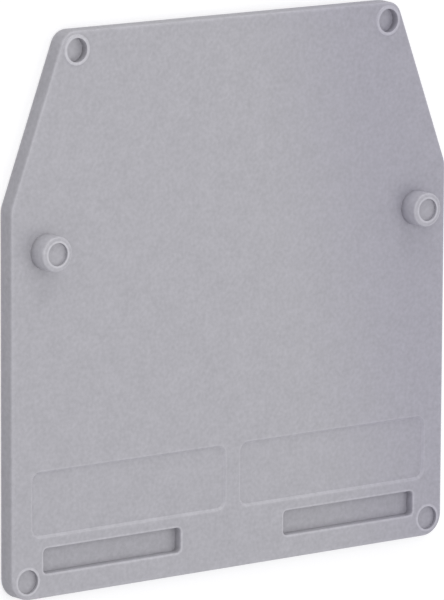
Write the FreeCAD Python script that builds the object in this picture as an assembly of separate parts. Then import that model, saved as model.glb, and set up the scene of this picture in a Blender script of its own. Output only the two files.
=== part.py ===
import FreeCAD, Part
import os
from math import atan2, cos, radians, sin, tan

# A thin moulded plate that separates or closes a row of rail terminal blocks.
# It lies on its back: +Z points out of the face that carries the pegs, +Y points to the
# narrow top end, and the origin is at the middle of the back. All lengths are in
# millimetres and all angles in degrees.

# Plate blank
PLATE_WIDTH = 42.6
PLATE_HEIGHT = 44.0
PLATE_THICKNESS = 1.5
TOP_WIDTH = 32.5            # between the sharp top corners
SHOULDER_HEIGHT = 30.6      # from the bottom edge to where the sides start to slope
BOTTOM_CORNER_RADIUS = 1.75
SHOULDER_RADIUS = 2.0
TOP_CORNER_RADIUS = 1.4
OUTER_WALL_DRAFT = 1.0      # the outline shrinks towards the face
FACE_RIM_RADIUS = 0.2
BACK_RIM_RADIUS = 0.1

# Locating pegs
PEG_RADIUS = 1.375
PEG_LENGTH = 1.7            # above the face
PEG_FROM_SIDE = 3.15
PEG_BELOW_SHOULDER = 3.4
PEG_END_ROUNDING = 0.2
PEG_END_MARK_RADIUS = 0.9
PEG_END_MARK_DEPTH = 0.25

# Ejector marks in the four corners of the face
MARK_FROM_EDGES = 1.5       # the same distance to both edges that meet at the corner
MARK_RADIUS = 0.95
TOP_MARK_DEPTH = 0.6
BOTTOM_MARK_DEPTH = 0.3
TOP_LIP_WIDTH = 0.3
TOP_LIP_HEIGHT = 0.09
BOTTOM_LIP_WIDTH = 0.22
BOTTOM_LIP_HEIGHT = 0.03
MARK_LIP_SLOPE = 0.08       # width of the sloping outer flank of a lip

# Long pockets near the bottom edge
POCKET_LENGTH = 13.2
POCKET_WIDTH = 2.0
POCKET_DEPTH = 0.75
POCKET_FROM_SIDE = 3.0
POCKET_FROM_BOTTOM = 1.92
POCKET_CORNER_RADIUS = 0.35
POCKET_WALL_DRAFT = 3.0
POCKET_RIM_RADIUS = 0.1

# Shallow label panels above the pockets
PANEL_LENGTH = 18.7
PANEL_WIDTH = 5.25
PANEL_DEPTH = 0.18
PANEL_FROM_SIDE = 1.9
PANEL_ABOVE_POCKET = 0.88
PANEL_CORNER_RADIUS = 0.75
PANEL_WALL_SLOPE = 45.0     # from upright, so that the wall reads as a soft line

# Places that follow from the sizes above
FACE_Z = PLATE_THICKNESS
SIDE_X = PLATE_WIDTH / 2
BOTTOM_Y = -PLATE_HEIGHT / 2
TOP_Y = PLATE_HEIGHT / 2
SHOULDER_Y = BOTTOM_Y + SHOULDER_HEIGHT
SIDE_SLOPE = atan2((PLATE_WIDTH - TOP_WIDTH) / 2, TOP_Y - SHOULDER_Y)
PEG_X = SIDE_X - PEG_FROM_SIDE
PEG_Y = SHOULDER_Y - PEG_BELOW_SHOULDER
POCKET_Y = BOTTOM_Y + POCKET_FROM_BOTTOM
PANEL_Y = POCKET_Y + POCKET_WIDTH + PANEL_ABOVE_POCKET

UP = FreeCAD.Vector(0, 0, 1)
CUT_OVERRUN = 0.5           # how far a cutting body stands proud of the face
SAME_PLACE = 0.001


def rounded_outline(corners, radii, z):
    """A closed wire at height z through the corners, with a tangent arc at each one."""
    points = [FreeCAD.Vector(x, y, z) for x, y in corners]
    arcs = []
    for i, corner in enumerate(points):
        to_last = (points[i - 1] - corner).normalize()
        to_next = (points[(i + 1) % len(points)] - corner).normalize()
        half_angle = to_last.getAngle(to_next) / 2
        reach = radii[i] / tan(half_angle)
        gap = radii[i] / sin(half_angle) - radii[i]
        inward = (to_last + to_next).normalize()
        arcs.append((corner + to_last * reach, corner + inward * gap, corner + to_next * reach))
    edges = []
    for i, (start, middle, end) in enumerate(arcs):
        edges.append(Part.LineSegment(arcs[i - 1][2], start).toShape())
        edges.append(Part.Arc(start, middle, end).toShape())
    return Part.Wire(edges)


def tapered_block(outline, rise, draft):
    """A solid on the outline that rises along Z and shrinks by the draft on every side."""
    far_outline = outline.makeOffset2D(-abs(rise) * tan(radians(draft)))
    far_outline.translate(UP * rise)
    return Part.makeLoft([outline, far_outline], True, True)


def rectangle_outline(x_min, y_min, length, width, corner_radius, z):
    """A rounded rectangle outline from its lower left corner."""
    x_max = x_min + length
    y_max = y_min + width
    corners = [(x_min, y_min), (x_max, y_min), (x_max, y_max), (x_min, y_max)]
    return rounded_outline(corners, [corner_radius] * len(corners), z)


def turned(points, x, y):
    """A solid of revolution about the upright line at x, y, from radius and height pairs."""
    closed = [FreeCAD.Vector(radius, 0, z) for radius, z in points + points[:1]]
    solid = Part.Face(Part.makePolygon(closed)).revolve(FreeCAD.Vector(0, 0, 0), UP, 360)
    solid.translate(FreeCAD.Vector(x, y, 0))
    return solid


def cylinder(radius, x, y, z_min, z_max):
    """An upright cylinder between two heights."""
    return Part.makeCylinder(radius, z_max - z_min, FreeCAD.Vector(x, y, z_min))


def edges_at(shape, z):
    """The edges of a shape that lie level at height z."""
    level_edges = []
    for edge in shape.Edges:
        box = edge.BoundBox
        if abs(box.ZMin - z) < SAME_PLACE and abs(box.ZMax - z) < SAME_PLACE:
            level_edges.append(edge)
    return level_edges


def plate_blank():
    """The drafted plate with its rounded corners and rims."""
    corners = [
        (-SIDE_X, BOTTOM_Y),
        (SIDE_X, BOTTOM_Y),
        (SIDE_X, SHOULDER_Y),
        (TOP_WIDTH / 2, TOP_Y),
        (-TOP_WIDTH / 2, TOP_Y),
        (-SIDE_X, SHOULDER_Y),
    ]
    radii = [BOTTOM_CORNER_RADIUS] * 2 + [SHOULDER_RADIUS] + [TOP_CORNER_RADIUS] * 2 + [SHOULDER_RADIUS]
    blank = tapered_block(rounded_outline(corners, radii, 0), PLATE_THICKNESS, OUTER_WALL_DRAFT)
    blank = blank.makeFillet(FACE_RIM_RADIUS, edges_at(blank, FACE_Z))
    return blank.makeFillet(BACK_RIM_RADIUS, edges_at(blank, 0))


def peg(x):
    """A round peg with a softened end and the shallow mark of the pin that pushed it out."""
    end_z = FACE_Z + PEG_LENGTH
    body = cylinder(PEG_RADIUS, x, PEG_Y, FACE_Z / 2, end_z)
    body = body.makeFillet(PEG_END_ROUNDING, edges_at(body, end_z))
    mark_z = end_z - PEG_END_MARK_DEPTH
    return body.cut(cylinder(PEG_END_MARK_RADIUS, x, PEG_Y, mark_z, end_z + CUT_OVERRUN))


def mark_lip(x, y, width, height):
    """The low bead around an ejector mark, with an upright inner and a sloping outer flank."""
    outer_radius = MARK_RADIUS + width
    foot_z = FACE_Z / 2
    crest_z = FACE_Z + height
    section = [
        (MARK_RADIUS, foot_z),
        (MARK_RADIUS, crest_z),
        (outer_radius - MARK_LIP_SLOPE, crest_z),
        (outer_radius, FACE_Z),
        (outer_radius, foot_z),
    ]
    return turned(section, x, y)


def corner_marks():
    """The four ejector marks, as x, y, depth, lip width and lip height."""
    bottom_x = SIDE_X - MARK_FROM_EDGES
    bottom_y = BOTTOM_Y + MARK_FROM_EDGES
    top_x = TOP_WIDTH / 2 + MARK_FROM_EDGES * (tan(SIDE_SLOPE) - 1 / cos(SIDE_SLOPE))
    top_y = TOP_Y - MARK_FROM_EDGES
    marks = []
    for side in (-1, 1):
        marks.append((side * bottom_x, bottom_y, BOTTOM_MARK_DEPTH, BOTTOM_LIP_WIDTH, BOTTOM_LIP_HEIGHT))
        marks.append((side * top_x, top_y, TOP_MARK_DEPTH, TOP_LIP_WIDTH, TOP_LIP_HEIGHT))
    return marks


def lower_left_x(side, from_side, length):
    """The left end of a bar that starts at a distance from the plate's left or right side."""
    return -SIDE_X + from_side if side < 0 else SIDE_X - from_side - length


def pocket_cutter(side):
    """A long pocket with drafted walls and a softened mouth."""
    x_min = lower_left_x(side, POCKET_FROM_SIDE, POCKET_LENGTH)
    mouth = rectangle_outline(x_min, POCKET_Y, POCKET_LENGTH, POCKET_WIDTH, POCKET_CORNER_RADIUS, FACE_Z)
    return tapered_block(mouth, -POCKET_DEPTH, POCKET_WALL_DRAFT)


def panel_cutter(side):
    """A very shallow label panel with sloping walls."""
    x_min = lower_left_x(side, PANEL_FROM_SIDE, PANEL_LENGTH)
    mouth = rectangle_outline(x_min, PANEL_Y, PANEL_LENGTH, PANEL_WIDTH, PANEL_CORNER_RADIUS, FACE_Z)
    return tapered_block(mouth, -PANEL_DEPTH, PANEL_WALL_SLOPE)


def soften_pocket_mouths(plate):
    """Round over the mouth edges of both pockets."""
    x_outer = SIDE_X - POCKET_FROM_SIDE + SAME_PLACE
    x_inner = SIDE_X - POCKET_FROM_SIDE - POCKET_LENGTH - SAME_PLACE
    y_lower = POCKET_Y - SAME_PLACE
    y_upper = POCKET_Y + POCKET_WIDTH + SAME_PLACE
    mouth_edges = []
    for edge in edges_at(plate, FACE_Z):
        middle = edge.BoundBox.Center
        if x_inner < abs(middle.x) < x_outer and y_lower < middle.y < y_upper:
            mouth_edges.append(edge)
    return plate.makeFillet(POCKET_RIM_RADIUS, mouth_edges)


def partition_plate():
    """The whole moulding as one solid."""
    plate = plate_blank()
    for side in (-1, 1):
        plate = plate.cut(pocket_cutter(side))
    plate = soften_pocket_mouths(plate)
    for side in (-1, 1):
        plate = plate.cut(panel_cutter(side))
        plate = plate.fuse(peg(side * PEG_X))
    for x, y, depth, lip_width, lip_height in corner_marks():
        plate = plate.fuse(mark_lip(x, y, lip_width, lip_height))
        plate = plate.cut(cylinder(MARK_RADIUS, x, y, FACE_Z - depth, FACE_Z + CUT_OVERRUN))
    return plate.removeSplitter().Solids[0]


os.makedirs("parts", exist_ok=True)
moulding = partition_plate()
moulding.exportStep("parts/partition_plate.step")
size = moulding.BoundBox
print("partition_plate", moulding.isValid(), round(moulding.Volume, 2), "mm3")
print("box", round(size.XLength, 3), round(size.YLength, 3), round(size.ZLength, 3))
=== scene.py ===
import math

import bmesh
import bpy
from mathutils import Matrix, Vector

# Terminal block partition plate: one piece moulded in matte grey plastic. It lies on its back
# on a pale floor, with the pegs up and the narrow top end towards +Y. Lengths are in metres
# and angles in degrees.

MM = 0.001
WHITE = (1.0, 1.0, 1.0, 1.0)

# Colour of the plastic as moulded, the lighter colour of its painted highlights, and the tint of
# the painted shade that darkens it and turns it bluer towards +X
PLASTIC_COLOUR = (0.432, 0.426, 0.454, 1.0)
HIGHLIGHT_COLOUR = (0.540, 0.534, 0.567, 1.0)
FALLOFF_SHADE_TINT = (0.889, 0.880, 0.934, 1.0)
PLASTIC_ROUGHNESS = 0.62
BURNISHED_ROUGHNESS = 0.30

# Grain and clouds. A shade is how far it takes the colour up and down.
GRAIN_SIZE = 0.11 * MM
GRAIN_RELIEF = 0.009 * MM
GRAIN_LEVEL = 0.5               # the height about which the grain rises and falls
GRAIN_SHADE = 0.16
FINE_GRAIN_DETAIL = 1.0
COARSE_GRAIN_DETAIL = 3.0
COARSE_GRAIN_RATIO = 0.35       # its scale, next to that of the fine grain
COARSE_GRAIN_SHARE = 0.4
BURNISHED_GRAIN = 0.3           # the share of the relief that is left where it is smoothest
CLOUD_SIZE = 1.6 * MM
CLOUD_SHADE = 0.09
CLOUD_DETAIL = 4.0
CLOUD_ROUGHNESS = 0.6

# How far each place looks for the end of the body and for the walls of a recess
EDGE_REACH = 0.24 * MM
RECESS_REACH = 0.6 * MM

# Where a change of finish, a painted highlight or a painted shade starts and where it is full:
# by the share of body or of open air around, by how far the surface faces up, and by height or
# place
THIN_BODY = (0.98, 0.81)
ENCLOSED = (0.95, 0.5)
SLOPING = (0.95, 0.75)
STEEP = (0.8, 0.3)
ABOVE_FACE = (1.51 * MM, 1.57 * MM)
PEG_FLANK = (1.6 * MM, 2.7 * MM)
BELOW_FACE = (1.15 * MM, 0.95 * MM)
ABOVE_POCKET_FLOOR = (0.78 * MM, 0.86 * MM)
FALLOFF_SHADE_SPAN = (6.0 * MM, 21.0 * MM)

# How strongly the painted highlights and painted shades show, and how the shade towards +X runs
EDGE_HIGHLIGHT = 0.65             # on edges that don't stand above the face
PEG_FLANK_POLISH_AND_HIGHLIGHT = 0.9
MARK_FLOOR_POLISH_AND_LIGHT = 0.5
PAINTED_RECESS_SHADE = 0.25
FALLOFF_SHADE_WANDER = 5.0 * MM
FALLOFF_SHADE_LEAN = 0.2                # how much further the painted shade towards +X comes in towards the top end
FALLOFF_SHADE_LEFT_OFF_PEGS = 0.5

# Viewpoint
VIEW_TARGET = (-1.175 * MM, -0.343 * MM, 1.5 * MM)
VIEW_DISTANCE = 449.633 * MM
VIEW_YAW = 37.134
VIEW_ELEVATION = 10.254
VIEW_ROLL = 0.305
VIEW_DEPTH = 10.0
LENS = 344.196
SENSOR = 36.0

# Light: name, compass bearing from +X, elevation, distance, width and strength of each lamp.
# At a strength of 1 a lamp alone lights a white card that faces it as pure white.
LAMPS = [
    ("left_light", 155, 60, 120 * MM, 70 * MM, 0.140),
    ("right_light", 330, 60, 200 * MM, 116 * MM, 0.130),
    ("top_end_light", 92, 17, 400 * MM, 250 * MM, 0.215),
]
LAMP_COLOUR = (1.0, 1.0, 0.96)
SKY_COLOUR = (0.955, 0.953, 1.0, 1.0)
SKY_STRENGTH = 0.695

# Floor: it glows only to the camera and in reflections, and lies just clear of the plate
FLOOR_COLOUR = (0.62, 0.62, 0.62, 1.0)
FLOOR_GLOW = 0.50
FLOOR_HALF_WIDTH = 3.0
FLOOR_GAP = 0.02 * MM


def add_node(tree, kind, place, **settings):
    """A shader node at a place in the editor, with its settings."""
    node = tree.nodes.new(kind)
    node.location = place
    for name, value in settings.items():
        setattr(node, name, value)
    return node


def new_group(name, inputs, outputs):
    """A node group with named inputs and outputs, and the nodes that stand for them."""
    group = bpy.data.node_groups.new(name, "ShaderNodeTree")
    for direction, sockets in (("INPUT", inputs), ("OUTPUT", outputs)):
        for socket_name, kind, value in sockets:
            socket = group.interface.new_socket(
                name=socket_name, in_out=direction, socket_type="NodeSocket" + kind
            )
            if value is not None:
                socket.default_value = value
    start = add_node(group, "NodeGroupInput", (-900, 0))
    end = add_node(group, "NodeGroupOutput", (600, 0))
    return group, start.outputs, end.inputs


def combine(tree, operation, first, second, place):
    """Two values combined into one. The second may be a plain number."""
    node = add_node(tree, "ShaderNodeMath", place, operation=operation)
    tree.links.new(first, node.inputs[0])
    if isinstance(second, float):
        node.inputs[1].default_value = second
    else:
        tree.links.new(second, node.inputs[1])
    return node.outputs["Value"]


def one_over(tree, size, place):
    """The scale of a pattern whose features have this size."""
    node = add_node(tree, "ShaderNodeMath", place, operation="DIVIDE")
    node.inputs[0].default_value = 1.0
    tree.links.new(size, node.inputs[1])
    return node.outputs["Value"]


def noise(tree, where, scale, detail, place):
    """A noise pattern with a scale and a detail."""
    node = add_node(tree, "ShaderNodeTexNoise", place)
    node.inputs["Detail"].default_value = detail
    tree.links.new(where, node.inputs["Vector"])
    tree.links.new(scale, node.inputs["Scale"])
    return node


def ramp(tree, value, limits, place, lowest=0.0):
    """A smooth step from the lowest to 1 as a value goes from one limit to the other."""
    step = add_node(tree, "ShaderNodeMapRange", place, interpolation_type="SMOOTHSTEP")
    step.inputs["From Min"].default_value = limits[0]
    step.inputs["From Max"].default_value = limits[1]
    step.inputs["To Min"].default_value = lowest
    tree.links.new(value, step.inputs["Value"])
    return step.outputs["Result"]


def between(tree, amount, values, place):
    """A value that follows an amount from the first value to the second."""
    follow = add_node(tree, "ShaderNodeMapRange", place)
    follow.inputs["To Min"].default_value = values[0]
    follow.inputs["To Max"].default_value = values[1]
    tree.links.new(amount, follow.inputs["Value"])
    return follow.outputs["Result"]


def axes_of(tree, vector, place):
    """The X, Y and Z of a vector."""
    node = add_node(tree, "ShaderNodeSeparateXYZ", place)
    tree.links.new(vector, node.inputs["Vector"])
    return node.outputs


def seen_directly(tree, place):
    """A value of 1 for rays that show the background, and 0 for those that only carry light."""
    rays = add_node(tree, "ShaderNodeLightPath", place).outputs
    x, y = place
    sharp = combine(tree, "MAXIMUM", rays["Is Camera Ray"], rays["Is Glossy Ray"], (x + 200, y))
    return combine(tree, "MAXIMUM", sharp, rays["Is Transmission Ray"], (x + 400, y))


def pale_floor_finish():
    """A pale matte floor that shows as white and still takes the shadow of the plate."""
    material = bpy.data.materials.new("pale_floor")
    material.use_nodes = True
    tree = material.node_tree
    surface = tree.nodes["Principled BSDF"]
    surface.inputs["Base Color"].default_value = FLOOR_COLOUR
    surface.inputs["Roughness"].default_value = 1.0
    surface.inputs["Specular IOR Level"].default_value = 0.0
    surface.inputs["Emission Color"].default_value = WHITE
    glow = combine(tree, "MULTIPLY", seen_directly(tree, (-900, -300)), FLOOR_GLOW, (-200, -300))
    tree.links.new(glow, surface.inputs["Emission Strength"])
    return material


def add_floor():
    """The floor that the plate lies on."""
    shape = bmesh.new()
    bmesh.ops.create_grid(shape, x_segments=1, y_segments=1, size=FLOOR_HALF_WIDTH)
    bmesh.ops.translate(shape, verts=shape.verts, vec=(0, 0, -FLOOR_GAP))
    mesh = bpy.data.meshes.new("floor")
    shape.to_mesh(mesh)
    shape.free()
    mesh.materials.append(pale_floor_finish())
    floor = bpy.data.objects.new("floor", mesh)
    bpy.context.scene.collection.objects.link(floor)


def add_lamp(name, bearing, elevation, distance, width, strength):
    """A soft square lamp that faces the middle of the plate."""
    bearing = math.radians(bearing)
    elevation = math.radians(elevation)
    direction = Vector((
        math.cos(bearing) * math.cos(elevation),
        math.sin(bearing) * math.cos(elevation),
        math.sin(elevation),
    ))
    data = bpy.data.lights.new(name, "AREA")
    data.shape = "SQUARE"
    data.size = width
    data.color = LAMP_COLOUR
    data.energy = strength * (math.pi * distance) ** 2
    lamp = bpy.data.objects.new(name, data)
    lamp.location = direction * distance
    lamp.rotation_euler = direction.to_track_quat("Z", "Y").to_euler()
    lamp.visible_camera = False
    bpy.context.scene.collection.objects.link(lamp)


def light_the_room():
    """An even pale sky, which shows as white."""
    world = bpy.data.worlds.new("studio")
    world.use_nodes = True
    bpy.context.scene.world = world
    tree = world.node_tree
    sky = tree.nodes["Background"]
    sky.inputs["Color"].default_value = SKY_COLOUR
    sky.inputs["Strength"].default_value = SKY_STRENGTH
    backdrop = add_node(tree, "ShaderNodeBackground", (0, -200))
    backdrop.inputs["Color"].default_value = WHITE
    either = add_node(tree, "ShaderNodeMixShader", (300, 0))
    tree.links.new(seen_directly(tree, (-700, 200)), either.inputs["Fac"])
    tree.links.new(sky.outputs["Background"], either.inputs[1])
    tree.links.new(backdrop.outputs["Background"], either.inputs[2])
    tree.links.new(either.outputs["Shader"], tree.nodes["World Output"].inputs["Surface"])


def add_camera():
    """The camera at the photograph's viewing angle, looking down on the plate."""
    yaw = math.radians(VIEW_YAW)
    elevation = math.radians(VIEW_ELEVATION)
    roll = math.radians(VIEW_ROLL)
    back = Vector((
        -math.sin(yaw) * math.cos(elevation),
        math.sin(elevation),
        math.cos(yaw) * math.cos(elevation),
    ))
    level = Vector((0, 1, 0)).cross(back).normalized()
    upright = back.cross(level)
    right = level * math.cos(roll) + upright * math.sin(roll)
    up = upright * math.cos(roll) - level * math.sin(roll)
    data = bpy.data.cameras.new("camera")
    data.lens = LENS
    data.sensor_width = SENSOR
    data.clip_end = VIEW_DEPTH
    camera = bpy.data.objects.new("camera", data)
    place = Vector(VIEW_TARGET) + back * VIEW_DISTANCE
    turn = Matrix((right, up, back)).transposed().to_4x4()
    camera.matrix_world = Matrix.Translation(place) @ turn
    bpy.context.scene.collection.objects.link(camera)
    bpy.context.scene.camera = camera


def spark_eroded_grain():
    """Group: the fine pebbled grain that the mould leaves, as a height and as a faint shade."""
    group, given, result = new_group(
        "spark_eroded_grain",
        [("Place", "Vector", None), ("Grain Size", "Float", GRAIN_SIZE)],
        [("Height", "Float", None), ("Shade", "Float", None)],
    )
    fine_scale = one_over(group, given["Grain Size"], (-700, 150))
    coarse_scale = combine(group, "MULTIPLY", fine_scale, COARSE_GRAIN_RATIO, (-450, -150))
    fine = noise(group, given["Place"], fine_scale, FINE_GRAIN_DETAIL, (-200, 200))
    coarse = noise(group, given["Place"], coarse_scale, COARSE_GRAIN_DETAIL, (-200, -150))
    blend = add_node(group, "ShaderNodeMix", (100, 100), data_type="FLOAT")
    blend.inputs["Factor"].default_value = COARSE_GRAIN_SHARE
    group.links.new(fine.outputs["Fac"], blend.inputs["A"])
    group.links.new(coarse.outputs["Fac"], blend.inputs["B"])
    group.links.new(blend.outputs["Result"], result["Height"])
    group.links.new(coarse.outputs["Fac"], result["Shade"])
    return group


def cloudy_shade():
    """Group: the slight cloudiness of the moulded colour, as a value about 0.5."""
    group, given, result = new_group(
        "cloudy_shade",
        [("Place", "Vector", None), ("Cloud Size", "Float", CLOUD_SIZE)],
        [("Amount", "Float", None)],
    )
    scale = one_over(group, given["Cloud Size"], (-500, -100))
    cloud = noise(group, given["Place"], scale, CLOUD_DETAIL, (-150, 0))
    cloud.inputs["Roughness"].default_value = CLOUD_ROUGHNESS
    group.links.new(cloud.outputs["Fac"], result["Amount"])
    return group


def smoothness_and_painted_light():
    """Group: what the mould left smoother at each place, with painted highlights and painted
    shade.

    The outputs are, in turn, how far the colour is lighter, which is painted highlight; how far
    the surface is smoother; and how far a place is a recess wall that takes painted shade.
    Edges, sloping flanks, the flanks of the pegs and the floors of the deep marks have both the
    painted highlight and the smoothness.
    """
    group, given, result = new_group(
        "smoothness_and_painted_light",
        [
            ("Place", "Vector", None),
            ("Facing", "Vector", None),
            ("Body Around", "Float", 1.0),
            ("Air Around", "Float", 1.0),
        ],
        [
            ("Painted Highlight", "Float", None),
            ("Smoothness", "Float", None),
            ("Painted Recess Shade", "Float", None),
        ],
    )
    height = axes_of(group, given["Place"], (-700, 600))["Z"]
    upward = axes_of(group, given["Facing"], (-700, -250))["Z"]
    steep = ramp(group, upward, STEEP, (-450, -200))
    sloping = ramp(group, upward, SLOPING, (-450, -500))
    bevelled = combine(group, "SUBTRACT", sloping, steep, (-200, -450))
    thin = ramp(group, given["Body Around"], THIN_BODY, (-450, 100))
    edge = combine(group, "MAXIMUM", thin, bevelled, (0, -300))

    # Painted highlight up the flanks of the pegs, lighter towards their ends, and a smoother
    # flank
    raised = ramp(group, height, PEG_FLANK, (-450, 400))
    flank = combine(group, "MULTIPLY", steep, raised, (-200, 350))
    polished_lit_flank = combine(group, "MULTIPLY", flank, PEG_FLANK_POLISH_AND_HIGHLIGHT, (0, 350))
    # Painted light that lifts the shade on the floors of the deep marks, which are also smoother
    sunk = ramp(group, height, BELOW_FACE, (-450, 1000))
    shallow = ramp(group, height, ABOVE_POCKET_FLOOR, (-450, 700))
    mark = combine(group, "MULTIPLY", sunk, shallow, (-200, 900))
    mark_floor = combine(group, "SUBTRACT", mark, steep, (0, 750))
    polished_lit_floor = combine(group, "MULTIPLY", mark_floor, MARK_FLOOR_POLISH_AND_LIGHT, (200, 750))
    smooth_and_lit = combine(group, "MAXIMUM", polished_lit_flank, polished_lit_floor, (200, 500))

    # Painted highlight on edges, in full on those that stand above the face
    lifted = ramp(group, height, ABOVE_FACE, (-450, 1300), lowest=EDGE_HIGHLIGHT)
    highlighted_edge = combine(group, "MULTIPLY", edge, lifted, (200, 1050))
    highlight = combine(group, "MAXIMUM", highlighted_edge, smooth_and_lit, (400, 600))
    smoothness = combine(group, "MAXIMUM", edge, smooth_and_lit, (400, 300))
    # Painted shade on steep recess walls where little open air lies around
    enclosed = ramp(group, given["Air Around"], ENCLOSED, (-200, 0))
    recess_shade = combine(group, "MULTIPLY", enclosed, steep, (200, 0))
    group.links.new(highlight, result["Painted Highlight"])
    group.links.new(smoothness, result["Smoothness"])
    group.links.new(recess_shade, result["Painted Recess Shade"])
    return group


def painted_falloff_shade():
    """Group: painted shade, how far the colour is darker and bluer towards +X, with a wandering
    front, standing for light that falls off across the plate.
    """
    group, given, result = new_group(
        "painted_falloff_shade",
        [("Place", "Vector", None), ("Cloud", "Float", 0.5)],
        [("Amount", "Float", None)],
    )
    where = axes_of(group, given["Place"], (-700, 100))
    wander = combine(group, "MULTIPLY", given["Cloud"], FALLOFF_SHADE_WANDER, (-500, -200))
    lean = combine(group, "MULTIPLY", where["Y"], FALLOFF_SHADE_LEAN, (-500, 0))
    across = combine(group, "ADD", where["X"], lean, (-300, 100))
    front = combine(group, "ADD", across, wander, (-100, 0))
    darkened = ramp(group, front, FALLOFF_SHADE_SPAN, (100, 0))
    raised = ramp(group, where["Z"], PEG_FLANK, (-300, 350))
    kept_off = combine(group, "MULTIPLY", raised, FALLOFF_SHADE_LEFT_OFF_PEGS, (-100, 350))
    off_peg = combine(group, "MULTIPLY", darkened, kept_off, (300, 200))
    group.links.new(combine(group, "SUBTRACT", darkened, off_peg, (450, 0)), result["Amount"])
    return group


def place_group(tree, group, place):
    """A node that stands for a group."""
    return add_node(tree, "ShaderNodeGroup", place, node_tree=group)


def share_around(tree, inside, reach, place):
    """The share of body (inside) or of open air (outside) that lies around a place."""
    around = add_node(tree, "ShaderNodeAmbientOcclusion", place, inside=inside, only_local=True)
    around.inputs["Distance"].default_value = reach
    return around.outputs["AO"]


def mixed_colour(tree, colours, factor, place, how="MIX"):
    """A mix of two colours by a factor. Each is a plain colour or a socket."""
    mix = add_node(tree, "ShaderNodeMix", place, data_type="RGBA", blend_type=how)
    for side, colour in zip("AB", colours):
        if isinstance(colour, tuple):
            mix.inputs[side].default_value = colour
        else:
            tree.links.new(colour, mix.inputs[side])
    tree.links.new(factor, mix.inputs["Factor"])
    return mix.outputs["Result"]


def shaded_by(tree, colour, amount, factors, place):
    """The colour times a factor, which follows the amount from the first value to the second."""
    scaled = add_node(tree, "ShaderNodeVectorMath", place, operation="SCALE")
    factor = between(tree, amount, factors, (place[0] - 100, place[1] - 250))
    tree.links.new(colour, scaled.inputs["Vector"])
    tree.links.new(factor, scaled.inputs["Scale"])
    return scaled.outputs["Vector"]


def grey_plastic():
    """Matte grey moulded plastic with a fine grain, faint clouds and smoother ends and rims.

    The ends, rims, peg flanks and floors of the deep marks also carry painted highlights, the
    recess walls painted shade, and the side towards +X a painted shade that darkens the colour
    and turns it bluer.
    """
    material = bpy.data.materials.new("grey_plastic")
    material.use_nodes = True
    tree = material.node_tree
    links = tree.links
    surface = tree.nodes["Principled BSDF"]
    where = add_node(tree, "ShaderNodeTexCoord", (-1400, 0)).outputs
    grain = place_group(tree, spark_eroded_grain(), (-1100, -250))
    cloud = place_group(tree, cloudy_shade(), (-1100, 0))
    polish_and_light = place_group(tree, smoothness_and_painted_light(), (-1100, 250))
    falloff_shade = place_group(tree, painted_falloff_shade(), (-850, 50))
    for group_node in (grain, cloud, polish_and_light, falloff_shade):
        links.new(where["Object"], group_node.inputs["Place"])
    links.new(cloud.outputs["Amount"], falloff_shade.inputs["Cloud"])
    links.new(where["Normal"], polish_and_light.inputs["Facing"])
    body_around = share_around(tree, True, EDGE_REACH, (-1400, 500))
    air_around = share_around(tree, False, RECESS_REACH, (-1400, 300))
    links.new(body_around, polish_and_light.inputs["Body Around"])
    links.new(air_around, polish_and_light.inputs["Air Around"])

    # Painted highlight: the colour turns lighter where the highlight mask is high
    plain_and_highlight = (PLASTIC_COLOUR, HIGHLIGHT_COLOUR)
    colour = mixed_colour(tree, plain_and_highlight, polish_and_light.outputs["Painted Highlight"], (-800, 400))
    # Painted shade: the colour turns darker and bluer towards +X
    tinted = (colour, FALLOFF_SHADE_TINT)
    colour = mixed_colour(tree, tinted, falloff_shade.outputs["Amount"], (-600, 400), how="MULTIPLY")
    # Painted shade on the recess walls, then the random shades of the clouds and the grain
    for amount, factors, spot in (
        (polish_and_light.outputs["Painted Recess Shade"], (1.0, 1.0 - PAINTED_RECESS_SHADE), (-400, 500)),
        (cloud.outputs["Amount"], (1.0 - CLOUD_SHADE, 1.0 + CLOUD_SHADE), (-300, 300)),
        (grain.outputs["Shade"], (1.0 - GRAIN_SHADE, 1.0 + GRAIN_SHADE), (-200, 150)),
    ):
        colour = shaded_by(tree, colour, amount, factors, spot)
    links.new(colour, surface.inputs["Base Color"])

    smoothness = polish_and_light.outputs["Smoothness"]
    roughness = between(tree, smoothness, (PLASTIC_ROUGHNESS, BURNISHED_ROUGHNESS), (-400, -100))
    links.new(roughness, surface.inputs["Roughness"])

    grain_left = between(tree, smoothness, (1.0, BURNISHED_GRAIN), (-750, -550))
    about_level = combine(tree, "SUBTRACT", grain.outputs["Height"], GRAIN_LEVEL, (-750, -350))
    height = combine(tree, "MULTIPLY", about_level, grain_left, (-500, -400))
    relief = add_node(tree, "ShaderNodeBump", (-300, -400))
    relief.inputs["Distance"].default_value = GRAIN_RELIEF
    links.new(height, relief.inputs["Height"])
    links.new(relief.outputs["Normal"], surface.inputs["Normal"])
    return material


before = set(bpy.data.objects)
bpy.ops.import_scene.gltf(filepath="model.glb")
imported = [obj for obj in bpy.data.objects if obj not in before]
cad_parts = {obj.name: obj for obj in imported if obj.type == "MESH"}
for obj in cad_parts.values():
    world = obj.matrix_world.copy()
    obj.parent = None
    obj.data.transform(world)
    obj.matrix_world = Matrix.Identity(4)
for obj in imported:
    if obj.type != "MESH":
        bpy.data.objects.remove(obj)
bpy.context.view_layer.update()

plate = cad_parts["partition_plate"]
plate.material_slots[0].material = grey_plastic()

add_floor()
for lamp_settings in LAMPS:
    add_lamp(*lamp_settings)
light_the_room()
add_camera()
bpy.context.scene.view_settings.view_transform = "Standard"
